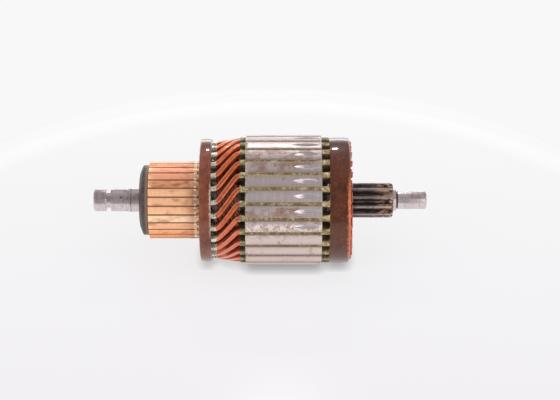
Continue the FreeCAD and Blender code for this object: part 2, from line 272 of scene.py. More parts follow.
def gearSteel(look):
    # Hardened gear steel under dried grease: dark brown, bare on the crests, and rusty in
    # patches of a few millimetres at its free end.
    material, tree, shader, place = startMaterial("hardened gear steel")
    x = addNode(tree, "SeparateXYZ", [place])[0]
    drawn = addNode(tree, "Mapping", {"Vector": place, "Scale": (0.45, 1, 1)})[0]
    grime = addNode(tree, "TexNoise", {"Vector": drawn, "Scale": 0.8, "Detail": 5.0, "Roughness": 0.6})[0]
    crest = addNode(tree, "MapRange", [fromAxis(tree, place), look["flankRadius"], look["crestRadius"]])[0]
    patchiness = addNode(tree, "MapRange", [grime, 0.62, 0.45, 0.25, 1.0])[0]
    bare = addNode(tree, "Math", [crest, patchiness], operation="MULTIPLY")[0]
    free = addNode(tree, "MapRange", [x, look["rustFront"], look["rustBack"]])[0]
    patch = addNode(tree, "MapRange", [grime, 0.47, 0.54])[0]
    rusty = addNode(tree, "Math", [free, patch], operation="MULTIPLY")[0]
    colour = addNode(tree, "ValToRGB", [grime], stops=zip((0.35, 0.65), look["grime"]))[0]
    layers = [(bare, look["bare"]), (rusty, look["rust"])]
    rough = addNode(tree, "MapRange", [grime, 0.3, 0.7, 0.22, 0.46])[0]
    finish(tree, shader, colour, layers, rough, grime, 0.05, {"Metallic": 0.8})
    return material


coreLook = {
    "turned": ("#B2A7A8", "#D4C9C8"), "pink": "#DCC8C2", "stain": "#A98776", "rust": "#6B4536",
    "flakes": ("#F0E2DC", "#A2857A", "#CAB2A8"), "film": "#BC9C88", "varnish": "#8C7A44",
    "crust": ("#8C7650", "#E8DCC6"), "milled": "#E6E0E2", "sheetThickness": 0.5,
    "pinkSide": (212, 30), "stainedSide": (114, 13), "stainedTooth": (163, 7, 0.9),
    "flakedTooth": (177.5, 6), "crustFront": 56.2, "crustBack": 58.4, "milledRadius": 28.66,
}


def laminationSteel(look):
    # Turned stack of 0.5 mm electrical sheet: faint sheet lines, a brown film and dried varnish along the
    # slots and at the front end, stains on the upper teeth, flaked varnish on one tooth, bright balance
    # cuts, and pinker teeth: some at random, and those of the lower front side as a painted reflection of
    # the floor.
    material, tree, shader, place = startMaterial("turned lamination stack")
    x = addNode(tree, "SeparateXYZ", [place])[0]
    number, offset = numberRound(tree, place, slotPhase)
    drawn = addNode(tree, "Mapping", {"Vector": place, "Scale": (1, 0.08, 0.08)})[0]
    streaks = addNode(tree, "TexNoise", {"Vector": drawn, "Scale": 2.4, "Detail": 4.0, "Roughness": 0.6})[0]
    blotch = addNode(tree, "TexNoise", {"Vector": place, "Scale": 0.2, "Detail": 5.0, "Roughness": 0.65})[0]
    specks = addNode(tree, "TexNoise", {"Vector": place, "Scale": 1.1, "Detail": 5.0, "Roughness": 0.72})[0]
    peeling = addNode(tree, "TexNoise",
                      {"Vector": place, "Scale": 0.5, "Detail": 4.0, "Distortion": 1.5})[0]
    tooth = addNode(tree, "TexWhiteNoise", {"W": number}, noise_dimensions="1D")[0]
    phase = addNode(tree, "Math", [x, 2 * math.pi / look["sheetThickness"]], operation="MULTIPLY")[0]
    sheets = addNode(tree, "Math", [phase], operation="SINE")[0]

    # Pinker teeth: a random tone per tooth, and on the lower front side a painted reflection of the floor.
    pink = addNode(tree, "MapRange", [tooth, 0.0, 1.0, 0.0, 0.35])[0]
    floorReflection = sector(tree, place, *look["pinkSide"])
    pink = addNode(tree, "Math", [pink, floorReflection], operation="MAXIMUM")[0]

    stained = sector(tree, place, *look["stainedSide"])
    alone = sector(tree, place, *look["stainedTooth"])
    stained = addNode(tree, "Math", [stained, alone], operation="MAXIMUM")[0]
    start = addNode(tree, "Math", [stained, -0.15, 0.60], operation="MULTIPLY_ADD")[0]
    full = addNode(tree, "Math", [start, 0.10], operation="ADD")[0]
    stain = addNode(tree, "MapRange", [blotch, start, full, 0.0, 0.8])[0]
    dots = addNode(tree, "MapRange", [specks, 0.55, 0.62])[0]
    rust = addNode(tree, "Math", [dots, stain], operation="MULTIPLY")[0]

    flaky = sector(tree, place, *look["flakedTooth"])
    flakes = addNode(tree, "ValToRGB", [peeling], stops=zip((0.49, 0.53, 0.58), look["flakes"]))[0]

    dried = addNode(tree, "MapRange", [specks, 0.35, 0.6, 0.55, 1.0])[0]
    film = addNode(tree, "MapRange", [offset, 0.10, 0.36, 0.0, 0.5])[0]
    film = addNode(tree, "Math", [film, dried], operation="MULTIPLY")[0]
    rim = addNode(tree, "MapRange", [offset, 0.345, 0.40])[0]
    varnish = addNode(tree, "Math", [rim, dried], operation="MULTIPLY")[0]

    end = addNode(tree, "MapRange", [x, look["crustFront"], look["crustBack"], 1.0, 0.0])[0]
    start = addNode(tree, "Math", [end, -0.22, 0.66], operation="MULTIPLY_ADD")[0]
    full = addNode(tree, "Math", [start, 0.04], operation="ADD")[0]
    crust = addNode(tree, "MapRange", [specks, start, full, 0.0, 0.9])[0]
    crust = addNode(tree, "Math", [crust, end], operation="MULTIPLY")[0]
    cream = addNode(tree, "ValToRGB", [peeling], stops=zip((0.4, 0.52), look["crust"]))[0]
    sunk = look["milledRadius"] - 0.1
    milled = addNode(tree, "MapRange", [fromAxis(tree, place), look["milledRadius"], sunk])[0]

    colour = addNode(tree, "ValToRGB", [streaks], stops=zip((0.3, 0.7), look["turned"]))[0]
    layers = [(pink, look["pink"]), (stain, look["stain"]), (rust, look["rust"]), (flaky, flakes),
              (film, look["film"]), (varnish, look["varnish"]), (crust, cream), (milled, look["milled"])]
    rough = addNode(tree, "MapRange", [blotch, 0.35, 0.7, 0.34, 0.48])[0]
    rough = addNode(tree, "Mix", {0: milled, 2: rough, 3: 0.13})[0]
    height = addNode(tree, "Math", [sheets, 0.25, streaks], operation="MULTIPLY_ADD")[0]
    height = addNode(tree, "Math", [height, rust], operation="ADD")[0]
    finish(tree, shader, colour, layers, rough, height, 0.02, {"Metallic": 0.85})
    return material


paperLook = {
    "soakedToDry": ("#5E4C2C", "#86744C", "#C8B898"), "fibre": "#8C7A4A", "inside": "#2E2815",
    "mouthRadius": 27.4, "shadeRadius": 26.6,
}


def slotPaper(look):
    # Aramid slot paper soaked in varnish: olive, cream where it is dry, with painted shade where it goes
    # down into the slot, and fibres along the slot, drawn coarser than they are so that they show.
    material, tree, shader, place = startMaterial("varnished slot paper")
    cloud = addNode(tree, "TexNoise", {"Vector": place, "Scale": 0.7, "Detail": 5.0, "Roughness": 0.6})[0]
    drawn = addNode(tree, "Mapping", {"Vector": place, "Scale": (0.3, 1, 1)})[0]
    fibre = addNode(tree, "TexNoise", {"Vector": drawn, "Scale": 5.0, "Detail": 3.0})[0]
    radius = fromAxis(tree, place)
    # Painted shade: darker the deeper the paper lies in the slot.
    inside = addNode(tree, "MapRange", [radius, look["mouthRadius"], look["shadeRadius"], 0.0, 0.8])[0]
    faint = addNode(tree, "MapRange", [fibre, 0.3, 0.7, 0.0, 0.35])[0]
    colour = addNode(tree, "ValToRGB", [cloud], stops=zip((0.38, 0.52, 0.64), look["soakedToDry"]))[0]
    layers = [(faint, look["fibre"]), (inside, look["inside"])]
    rough = addNode(tree, "MapRange", [cloud, 0.3, 0.7, 0.55, 0.38])[0]
    finish(tree, shader, colour, layers, rough, fibre, 0.05, {})
    return material


hubLook = {
    "moulded": ("#3A322E", "#50453F"), "litEdge": "#84695A", "copperDust": "#9A6444",
    "rimFront": 11.6, "rimBack": 12.2, "dustFloor": 15.7, "dustTop": 16.2,
}


def phenolic(look):
    # Moulded phenolic: dark brown-grey and nearly matt, a faint flow of its filler, paler from the rim back
    # as a painted highlight, and dusted with copper between the bars.
    material, tree, shader, place = startMaterial("moulded phenolic")
    x = addNode(tree, "SeparateXYZ", [place])[0]
    flow = addNode(tree, "TexNoise", {"Vector": place, "Scale": 0.5, "Detail": 5.0, "Roughness": 0.6})[0]
    grain = addNode(tree, "TexNoise", {"Vector": place, "Scale": 4.0, "Detail": 2.0})[0]
    # Painted highlight: paler from the rim back towards the bars.
    rim = addNode(tree, "MapRange", [x, look["rimFront"], look["rimBack"], 0.0, 0.75])[0]
    radius = fromAxis(tree, place)
    dust = addNode(tree, "MapRange", [radius, look["dustFloor"], look["dustTop"], 0.0, 0.9])[0]
    colour = addNode(tree, "ValToRGB", [flow], stops=zip((0.35, 0.65), look["moulded"]))[0]
    layers = [(rim, look["litEdge"]), (dust, look["copperDust"])]
    rough = addNode(tree, "MapRange", [grain, 0.3, 0.7, 0.38, 0.55])[0]
    finish(tree, shader, colour, layers, rough, grain, 0.02, {})
    return material


frontBandLook = {
    "name": "glass roving in brown resin", "pools": ("#582A1A", "#7E4630"), "strands": "#884E38",
    "red": "#7C2C12", "dark": "#2E1710", "rimHighlight": "#C8B09A", "rimHighlightFrom": 40.2, "rimHighlightSide": (160, 24),
}
rearBandLook = {
    "name": "glass roving in amber resin", "pools": ("#381A0A", "#542A12"), "strands": "#60341A",
    "red": "#7C2C12", "dark": "#2E1710", "rimHighlight": "#CC683A", "rimHighlightFrom": 99.6, "rimHighlightSide": (175, 42),
}


def rovingResin(look):
    # Glass roving set in amber resin: a glossy skin over 1 mm threads, with reddish flecks and darker
    # pools, and a painted highlight in a ragged strip along its back edge, on the side that faces the
    # camera.
    material, tree, shader, place = startMaterial(look["name"])
    x = addNode(tree, "SeparateXYZ", [place])[0]
    drawn = addNode(tree, "Mapping", {"Vector": place, "Scale": (1, 0.06, 0.06)})[0]
    threads = addNode(tree, "TexNoise", {"Vector": drawn, "Scale": 1.9, "Detail": 3.0})[0]
    cloud = addNode(tree, "TexNoise", {"Vector": place, "Scale": 0.16, "Detail": 4.0, "Roughness": 0.6})[0]
    flecks = addNode(tree, "TexNoise", {"Vector": place, "Scale": 0.85, "Detail": 4.0, "Roughness": 0.7})[0]
    strands = addNode(tree, "MapRange", [threads, 0.45, 0.7, 0.0, 0.35])[0]
    red = addNode(tree, "MapRange", [flecks, 0.55, 0.66, 0.0, 0.85])[0]
    dark = addNode(tree, "MapRange", [flecks, 0.43, 0.35, 0.0, 0.5])[0]
    # Painted highlight along the band's back edge, ragged, on the side facing the camera.
    wavy = addNode(tree, "Math", [flecks, 3.0, x], operation="MULTIPLY_ADD")[0]
    rimHighlight = addNode(tree, "MapRange", [wavy, look["rimHighlightFrom"] + 1.4, look["rimHighlightFrom"] + 2.4, 0.0, 0.9])[0]
    lit = sector(tree, place, *look["rimHighlightSide"])
    rimHighlight = addNode(tree, "Math", [rimHighlight, lit], operation="MULTIPLY")[0]
    colour = addNode(tree, "ValToRGB", [cloud], stops=zip((0.36, 0.64), look["pools"]))[0]
    layers = [(strands, look["strands"]), (red, look["red"]), (dark, look["dark"]), (rimHighlight, look["rimHighlight"])]
    rough = addNode(tree, "MapRange", [cloud, 0.3, 0.7, 0.30, 0.40])[0]
    finish(tree, shader, colour, layers, rough, threads, 0.04,
           {"Specular IOR Level": 0.1, "Coat Weight": 0.85, "Coat Roughness": 0.05})
    return material


windingLook = {
    "enamel": ("#C44E1E", "#E8743A"), "scratched": "#74300F", "litEdge": "#FFB896", "lowerShading": "#DC7460",
    "varnishAndShade": "#742A12", "head": "#8E3A18", "tin": ("#6E6252", "#D8CCB8", "#FBF4E6"),
    "tinShade": "#3A2E22", "braze": "#F2B888", "lowerShadingSide": (222, 40, 0.6), "layerRadius": 24.2,
    "deepRadius": 23.4, "headFront": 98.0, "headBack": 101.0, "brazeBack": 35.9, "tinBack": 41.9,
}


def enamelledCopper(look):
    # Drawn copper bar in clear amber enamel: orange, with a salmon painted highlight along its edges,
    # salmon painted light from the floor on the bars of the lower side, darker in the lower layer with
    # pooled varnish and painted shade, stripped and tinned towards its tails, where the tails of the lower
    # layer have painted shade too.
    material, tree, shader, place = startMaterial("enamelled copper bar")
    x = addNode(tree, "SeparateXYZ", [place])[0]
    radius = fromAxis(tree, place)
    cloud = addNode(tree, "TexNoise", {"Vector": place, "Scale": 0.35, "Detail": 4.0, "Roughness": 0.6})[0]
    scuffs = addNode(tree, "TexNoise", {"Vector": place, "Scale": 1.6, "Detail": 4.0, "Roughness": 0.65})[0]
    scratched = addNode(tree, "MapRange", [scuffs, 0.40, 0.32, 0.0, 0.6])[0]
    # Painted highlight on the enamel's edges, broken up by noise.
    corner = addNode(tree, "Attribute", attribute_name="corner")["Fac"]
    patchiness = addNode(tree, "MapRange", [scuffs, 0.3, 0.5, 0.35, 1.0])[0]
    litEdge = addNode(tree, "Math", [corner, patchiness], operation="MULTIPLY")[0]
    # Painted light from the floor: the bars on the lower side pinker, in salmon.
    lowerShading = sector(tree, place, *look["lowerShadingSide"])
    # Darker lower layer: pooled varnish and painted shade.
    varnishAndShade = addNode(tree, "MapRange", [radius, look["layerRadius"], look["deepRadius"], 0.0, 0.75])[0]
    head = addNode(tree, "MapRange", [x, look["headFront"], look["headBack"], 0.0, 0.6])[0]

    tin = addNode(tree, "ValToRGB", [scuffs], stops=zip((0.36, 0.46, 0.6), look["tin"]))[0]
    shade = addNode(tree, "MapRange", [radius, look["layerRadius"], look["deepRadius"], 0.0, 0.8])[0]
    braze = addNode(tree, "MapRange", [x, look["brazeBack"], look["brazeBack"] - 0.6])[0]
    for share, tint in ((shade, look["tinShade"]), (braze, look["braze"])):
        tin = addNode(tree, "Mix", {0: share, 6: tin, 7: tint}, data_type="RGBA")[2]
    limit = addNode(tree, "Math", [cloud, 2.6, look["tinBack"]], operation="MULTIPLY_ADD")[0]
    before = addNode(tree, "Math", [limit, x], operation="SUBTRACT")[0]
    stripped = addNode(tree, "MapRange", [before, -0.15, 0.15])[0]

    colour = addNode(tree, "ValToRGB", [cloud], stops=zip((0.35, 0.65), look["enamel"]))[0]
    layers = [(scratched, look["scratched"]), (litEdge, look["litEdge"]), (lowerShading, look["lowerShading"]),
              (varnishAndShade, look["varnishAndShade"]), (head, look["head"]), (stripped, tin)]
    rough = addNode(tree, "MapRange", [scuffs, 0.3, 0.7, 0.24, 0.4])[0]
    finish(tree, shader, colour, layers, rough, scuffs, 0.03,
           {"Metallic": 0.75, "Coat Weight": 0.8, "Coat Roughness": 0.1})
    return material


barsLook = {
    "turned": ("#FBB684", "#FFD4A8"), "pink": "#E28E74", "lowerShading": "#F49A5C", "barHighlight": "#FFE2BC",
    "smear": "#B87050", "burnt": "#A8683C", "rim": "#8A4E2C", "soot": "#B87048",
    "brazeAndHighlight": ("#F4A870", "#FFC898", "#FFF0DC"), "pinkSide": (106, 26, 0.65),
    "lowerShadingSide": (228, 24, 0.7), "highlightBar": (180, 7, 0.7), "burntBar": (barPhase - 2 * pitch, 6.5),
    "trackFront": 16.8, "trackBack": 35.6, "sootFront": 29.0, "brazeFront": 33.0,
}


def commutatorCopper(look):
    # Hard-drawn copper, turned: fine rings, each bar a little different, duller where the brushes run, a
    # burnt patch on one bar, a dark line beside each undercut, and pale brazing metal at the back whose
    # palest lumps are partly a painted highlight. A painted highlight lies on the bar that faces forward,
    # and painted shade makes the lowest bars redder and darker. The rings are drawn 0.2 mm apart, wider
    # than the real turning marks, which are too fine to show.
    material, tree, shader, place = startMaterial("turned commutator copper")
    x = addNode(tree, "SeparateXYZ", [place])[0]
    number, offset = numberRound(tree, place, barPhase - pitch / 2)
    drawn = addNode(tree, "Mapping", {"Vector": place, "Scale": (1, 0.04, 0.04)})[0]
    rings = addNode(tree, "TexNoise", {"Vector": drawn, "Scale": 5.0, "Detail": 3.0, "Roughness": 0.6})[0]
    along = addNode(tree, "Mapping", {"Vector": place, "Scale": (0.4, 1, 1)})[0]
    cloud = addNode(tree, "TexNoise", {"Vector": along, "Scale": 0.5, "Detail": 4.0})[0]
    lumps = addNode(tree, "TexNoise", {"Vector": place, "Scale": 0.9, "Detail": 4.0, "Roughness": 0.6})[0]
    bar = addNode(tree, "TexWhiteNoise", {"W": number}, noise_dimensions="1D")[0]
    ragged = addNode(tree, "Math", [cloud, 6.0, x], operation="MULTIPLY_ADD")[0]
    begun = addNode(tree, "MapRange", [ragged, look["trackFront"], look["trackFront"] + 1.8])[0]
    ended = addNode(tree, "MapRange", [ragged, look["trackBack"], look["trackBack"] - 1.8])[0]
    track = addNode(tree, "Math", [begun, ended], operation="MULTIPLY")[0]

    pinker = addNode(tree, "MapRange", [bar, 0.25, 0.9, 0.0, 0.3])[0]
    upper = sector(tree, place, *look["pinkSide"])
    pinker = addNode(tree, "Math", [pinker, upper], operation="MAXIMUM")[0]
    pinker = addNode(tree, "Math", [pinker, track], operation="MULTIPLY")[0]
    # Painted shade: the lowest bars redder and darker.
    lowerShading = sector(tree, place, *look["lowerShadingSide"])
    # Painted highlight on the bar that faces forward.
    barHighlight = sector(tree, place, *look["highlightBar"])
    smeared = addNode(tree, "MapRange", [cloud, 0.54, 0.68, 0.0, 0.6])[0]
    smeared = addNode(tree, "Math", [smeared, track], operation="MULTIPLY")[0]
    burnt = sector(tree, place, *look["burntBar"])
    mottled = addNode(tree, "MapRange", [cloud, 0.38, 0.6, 0.1, 0.8])[0]
    burnt = addNode(tree, "Math", [burnt, mottled], operation="MULTIPLY")[0]
    burnt = addNode(tree, "Math", [burnt, track], operation="MULTIPLY")[0]
    rim = addNode(tree, "MapRange", [offset, 0.39, 0.43, 0.0, 0.7])[0]
    soot = addNode(tree, "MapRange", [x, look["sootFront"], look["brazeFront"], 0.0, 0.5])[0]
    braze = addNode(tree, "MapRange", [x, look["brazeFront"], look["brazeFront"] + 0.5])[0]
    # Brazing metal, pale orange to near white; its palest lumps are partly a painted highlight.
    brazeAndHighlight = addNode(tree, "ValToRGB", [lumps], stops=zip((0.34, 0.44, 0.52), look["brazeAndHighlight"]))[0]

    colour = addNode(tree, "ValToRGB", [rings], stops=zip((0.3, 0.7), look["turned"]))[0]
    layers = [(pinker, look["pink"]), (lowerShading, look["lowerShading"]), (barHighlight, look["barHighlight"]),
              (smeared, look["smear"]), (burnt, look["burnt"]), (rim, look["rim"]),
              (soot, look["soot"]), (braze, brazeAndHighlight)]
    rough = addNode(tree, "MapRange", [rings, 0.3, 0.7, 0.34, 0.48])[0]
    finish(tree, shader, colour, layers, rough, rings, 0.015, {"Metallic": 0.5})
    return material


finishes = {
    "shaft": groundSteel(shaftLook),
    "pinion": gearSteel(pinionLook),
    "core": laminationSteel(coreLook),
    "paper": slotPaper(paperLook),
    "phenolic": phenolic(hubLook),
    "frontBand": rovingResin(frontBandLook),
    "rearBand": rovingResin(rearBandLook),
    "winding": enamelledCopper(windingLook),
    "bars": commutatorCopper(barsLook),
}
print("materials made")


# Shaft, turned and ground, and the sun pinion cut into it

shaft = {
    "front": -11.5, "landRadius": 4.95, "grooveFront": -6.0, "grooveRadius": 3.4,
    "journalFront": -4.0, "journalBack": 4.0, "journalRadius": 5.0, "seatRadius": 5.2,
    "pinionFront": 97.68, "pinionBack": 120.38, "ringRadius": 4.7, "rearJournalFront": 122.38,
    "rearJournalRadius": 4.0, "reliefRadius": 3.7, "reliefWidth": 0.6, "back": 135.17,
    "chamfer": 0.6, "edgeRound": 0.18, "centreHoleRadius": 1.6, "centreHoleSlope": 1.73,
}


def shaftProfile(s):
    # Half the shaft's outline, from the bottom of one centre hole to that of the other.
    hole = s["centreHoleRadius"]
    depth = hole * s["centreHoleSlope"]
    point = 0.02    # radius of the hole's bottom, which the end face closes
    relief = s["rearJournalFront"] - s["reliefWidth"]
    corners = [
        (s["front"] + depth, point), (s["front"], hole),
        (s["front"], s["landRadius"] - s["chamfer"]), (s["front"] + s["chamfer"], s["landRadius"]),
        (s["grooveFront"], s["landRadius"]), (s["grooveFront"], s["grooveRadius"]),
        (s["journalFront"], s["grooveRadius"]), (s["journalFront"], s["journalRadius"]),
        (s["journalBack"], s["journalRadius"]), (s["journalBack"], s["seatRadius"]),
        (s["pinionBack"], s["seatRadius"]), (s["pinionBack"], s["ringRadius"]),
        (relief, s["ringRadius"]), (relief, s["reliefRadius"]),
        (s["rearJournalFront"], s["reliefRadius"]), (s["rearJournalFront"], s["rearJournalRadius"]),
        (s["back"] - s["chamfer"], s["rearJournalRadius"]),
        (s["back"], s["rearJournalRadius"] - s["chamfer"]), (s["back"], hole),
        (s["back"] - depth, point),
    ]
    return rounded(corners, s["edgeRound"])


pinion = {"teeth": 11, "module": 1.2, "pressureAngle": 20, "tipRadius": 7.75, "rootRadius": 5.2,
          "rootFillet": 0.45, "phase": 142.0, "endRounding": 1.5, "edge": 0.18}


def pinionRows(p):
    # The transverse outline of involute teeth; along the shaft each row is held under an
    # envelope radius that rounds the tooth ends towards the rear journal.
    pressure = math.radians(p["pressureAngle"])
    base = p["module"] * p["teeth"] / 2 * math.cos(pressure)
    halfAtBase = math.pi / (2 * p["teeth"]) + math.tan(pressure) - pressure
    radii = np.linspace(base, p["tipRadius"] - p["edge"], 7)
    roll = np.arccos(base / radii)
    half = np.degrees(halfAtBase - (np.tan(roll) - roll))
    toothStep = 360 / p["teeth"]
    rootHalf = np.degrees(halfAtBase)
    gap = toothStep / 2 - rootHalf
    rootAngles = np.array([toothStep / 2, toothStep / 2 - gap * 0.6, rootHalf])
    crest = half[-1] * np.array([0.75, 0.3])
    angles = np.concatenate([-rootAngles, -half, -crest, crest[::-1], half[::-1], rootAngles[:0:-1]])
    tip = p["tipRadius"]
    root = p["rootRadius"] + np.array([0, 0.05, p["rootFillet"]])
    heights = np.concatenate([root, radii, [tip, tip, tip, tip], radii[::-1], root[:0:-1]])
    outlineAngles = np.concatenate([p["phase"] + tooth * toothStep + angles for tooth in range(p["teeth"])])
    outlineRadii = np.tile(heights, p["teeth"])
    turn = np.linspace(0, math.pi / 2, 7)
    front, back, rounding = shaft["pinionFront"], shaft["pinionBack"], p["endRounding"]
    x = np.concatenate([[front, front + 0.1], np.linspace(front + 6, back - rounding - 0.5, 5),
                        back - rounding * (1 - np.sin(turn))])
    limit = np.concatenate([np.full(x.size - turn.size, tip), tip - rounding * (1 - np.cos(turn))])
    radii = np.minimum(outlineRadii[None, :], limit[:, None])
    return onShaft(x[:, None], outlineAngles[None, :], radii)


addPiece("shaftGround", [lathe(shaftProfile(shaft), 72)], finishes["shaft"],
         ["armature_shaft"])
addPiece("sunPinion", [pinionRows(pinion)], finishes["pinion"], ["armature_shaft"])
print("shaft made")


# Lamination core

core = {
    "front": 55.68, "length": 33.0, "radius": 28.75, "slotFloor": 20.51,
    "slotRoof": 27.65, "slotHalf": 1.35, "mouthHalf": 0.65, "lip": 0.22, "endBevel": 0.2,
    "firstCut": -5, "cutCount": 8, "cutMiddle": 81.98, "cutHalfLength": 6.0, "cutDepth": 1.1,
    "cutHalfWidth": 1.0, "cutBottomRound": 0.16, "cutTooth": 146.93,
}


def coreRows(c):
    # Each slot and the tooth after it give one run of the outline; the crown sinks where a
    # milling disc has cut it: depth = disc's depth at x less the slope of its bevelled rim.
    toothHalf = c["radius"] * math.radians(pitch / 2) - c["mouthHalf"] - c["lip"]
    crown = np.concatenate([[-toothHalf, -2.0, -1.6], np.linspace(-1.25, 1.25, 19), [1.6, 2.0, toothHalf]])
    reach = c["cutHalfLength"] + 0.4
    cutFront = c["cutMiddle"] - c["front"] - reach
    x = np.concatenate([[0, c["endBevel"]], np.linspace(1, cutFront - 0.3, 8),
                        cutFront + np.linspace(0, 2 * reach, 41),
                        [c["length"] - c["endBevel"], c["length"]]]) + c["front"]
    bevel = np.zeros(x.size)
    bevel[[0, -1]] = c["endBevel"]
    along = np.clip(1 - ((x - c["cutMiddle"]) / c["cutHalfLength"]) ** 2, 0, None)
    discDepth = c["cutDepth"] * along
    slope = c["cutDepth"] / c["cutHalfWidth"]
    bottom = c["cutBottomRound"]
    cut = discDepth[:, None] - (np.sqrt((slope * crown) ** 2 + bottom ** 2) - bottom)[None, :]
    cut = np.clip(cut, 0, None)
    edge, mouth, half = c["lip"], c["mouthHalf"], c["slotHalf"]
    top = c["radius"]
    slot = np.array([(top - edge * 0.3, -mouth - edge * 0.3), (top - edge, -mouth),
                     (c["slotRoof"], -mouth), (c["slotRoof"], -half), (c["slotFloor"], -half),
                     (c["slotFloor"], half), (c["slotRoof"], half), (c["slotRoof"], mouth),
                     (top - edge, mouth), (top - edge * 0.3, mouth + edge * 0.3)])
    runs = []
    for number in range(slotCount):
        slotAngle = slotPhase + number * pitch
        toothAngle = slotAngle + pitch / 2
        radius = np.hypot(slot[:, 0], slot[:, 1])
        radius = radius[None, :] - bevel[:, None] * (slot[:, 0] > c["slotRoof"])[None, :]
        angle = slotAngle + np.degrees(np.arctan2(slot[:, 1], slot[:, 0]))
        runs.append(onShaft(x[:, None], angle[None, :], radius))
        toothNumber = round((toothAngle - c["cutTooth"]) / pitch)
        isCut = (toothNumber - c["firstCut"]) % slotCount < c["cutCount"]
        depth = cut if isCut else np.zeros_like(cut)
        radius = top - bevel[:, None] - depth
        angle = toothAngle + np.degrees(crown / top)
        runs.append(onShaft(x[:, None], angle[None, :], radius))
    return np.concatenate(runs, axis=1)


addPiece("laminationStack", [coreRows(core)], finishes["core"],
         ["lamination_core"], sharp=50)
print("core made")


# Slot paper

paper = {"front": 53.28, "back": 91.95, "top": 27.6, "bottom": 20.56, "half": 1.3, "wall": 0.25,
         "corner": 0.3, "innerCorner": 0.15, "fray": 0.12, "frayedLength": 1.2, "mostFlare": 0.16}


def roundedBox(halfAcross, low, high, radius, steps=4):
    # Closed outline (across, up) of a rectangle with round corners.
    turn = np.linspace(0, math.pi / 2, steps)
    curve = np.stack([np.cos(turn), np.sin(turn)], axis=-1) * radius
    corners = []
    for quarter, (a, b) in enumerate(((1, 1), (-1, 1), (-1, -1), (1, -1))):
        middle = np.array([a * (halfAcross - radius), (high if b > 0 else low) - b * radius])
        spin = quarter * math.pi / 2
        turned = np.stack([curve[:, 0] * math.cos(spin) - curve[:, 1] * math.sin(spin),
                           curve[:, 0] * math.sin(spin) + curve[:, 1] * math.cos(spin)], axis=-1)
        corners.append(middle + turned)
    return np.concatenate(corners)


def paperSleeve(p, angle):
    # A folded sleeve: the outer skin from one end to the other, then the inner skin back again.
    # Near its ends it is a little wider and its edge is ragged.
    outer = roundedBox(p["half"], p["bottom"], p["top"], p["corner"])
    inner = roundedBox(p["half"] - p["wall"], p["bottom"] + p["wall"], p["top"] - p["wall"],
                       p["innerCorner"])
    x = np.concatenate([np.linspace(p["front"], p["front"] + 2.2, 5),
                        np.linspace(p["back"] - 2.4, p["back"], 5)])
    ragged = rng.normal(0, p["fray"], (x.size, outer.shape[0]))
    nearEnd = np.clip(1 - np.minimum(x - p["front"], p["back"] - x) / p["frayedLength"], 0, 1)[:, None]
    flare = rng.uniform(0.0, p["mostFlare"])
    rows = []
    for outline, order in ((outer, 1), (inner, -1)):
        across = outline[:, 0] * (1 + flare * nearEnd)
        up = outline[:, 1] + ragged * nearEnd * 0.5
        along = x[:, None] + ragged * nearEnd * 0.8
        points = np.stack([along, up, across], axis=-1) * 0.001
        rows.append(points[::order])
    return turnedRound(np.concatenate(rows), angle)


addPiece("slotPaper", [paperSleeve(paper, slotPhase + number * pitch) for number in range(slotCount)],
         finishes["paper"], ["slot_liners"], ring=True, sharp=60)

# Dark rings at both ends of the core, shaped as fibre washers; they stand for the shade between the slot
# liners and take the slot paper's painted shade.
endShadeRings = {"seat": 5.2, "radius": 20.4, "thickness": 2.2, "corner": 0.3}   # fibre, at both ends


def flatRingRows(w, x):  # a flat ring with round corners
    profile = rounded([(x, w["seat"]), (x, w["radius"]), (x + w["thickness"], w["radius"]),
                       (x + w["thickness"], w["seat"])], w["corner"])
    return lathe(profile, 72)


addPiece("endShadeRings", [flatRingRows(endShadeRings, core["front"] - endShadeRings["thickness"]),
                        flatRingRows(endShadeRings, core["front"] + core["length"])],
         finishes["paper"], ["slot_liners"], ring=True)
print("slot paper made")


# Winding

winding = {
    "width": 2.0, "height": 2.8, "tailWidth": 1.6, "tailHeight": 2.25, "corner": 0.42,
    "tailFront": 32.75, "tailTop": 15.875, "tailBottom": 13.525, "topRiser": 36.85,
    "bottomRiser": 39.85, "bottomBend": 41.6, "topBend": 43.5, "frontBend": 52.38,
    "rearBend": 92.23, "headFoot": 99.4, "headMiddle": 100.85,
    "topLeg": 25.9, "bottomLeg": 22.26, "frontDip": 1.35, "headDip": 0.9,
    "topTurn": 25.667, "bottomTurn": 54.333, "headHalf": 46.667, "shoulder": 8.0, "crest": 4.2,
    "unrolledRadius": 24, "bendWindow": 2.6, "leanWindow": 6.0, "leanFade": 1.5, "sample": 0.15,
    "headWobble": 0.1, "bendWobble": 0.12, "rowSpacing": 3.5, "rowBend": 8, "tailCorner": 0.25,
}


def hairpinStations(w):
    # Corners of the bar's middle line as (x, angle, radius, how full its section is).
    top, bottom = w["topLeg"], w["bottomLeg"]
    head, bottomSlot = -w["headHalf"], -2 * w["headHalf"]
    bottomBar = bottomSlot - w["bottomTurn"]
    return np.array([
        (w["tailFront"], w["topTurn"], w["tailTop"], 0),
        (w["topRiser"], w["topTurn"], w["tailTop"], 0),
        (w["topRiser"], w["topTurn"], top - w["frontDip"], 1),
        (w["topBend"], w["topTurn"], top - w["frontDip"], 1),
        (w["frontBend"], 0, top, 1),
        (w["rearBend"], 0, top, 1),
        (w["headFoot"], head + w["shoulder"], top - w["headDip"], 1),
        (w["headMiddle"], head + w["crest"], top - w["headDip"], 1),
        (w["headMiddle"], head - w["crest"], bottom - w["headDip"], 1),
        (w["headFoot"], head - w["shoulder"], bottom - w["headDip"], 1),
        (w["rearBend"], bottomSlot, bottom, 1),
        (w["frontBend"], bottomSlot, bottom, 1),
        (w["bottomBend"], bottomBar, bottom - w["frontDip"], 1),
        (w["bottomRiser"], bottomBar, bottom - w["frontDip"], 1),
        (w["bottomRiser"], bottomBar, w["tailBottom"], 0),
        (w["tailFront"], bottomBar, w["tailBottom"], 0),
    ])


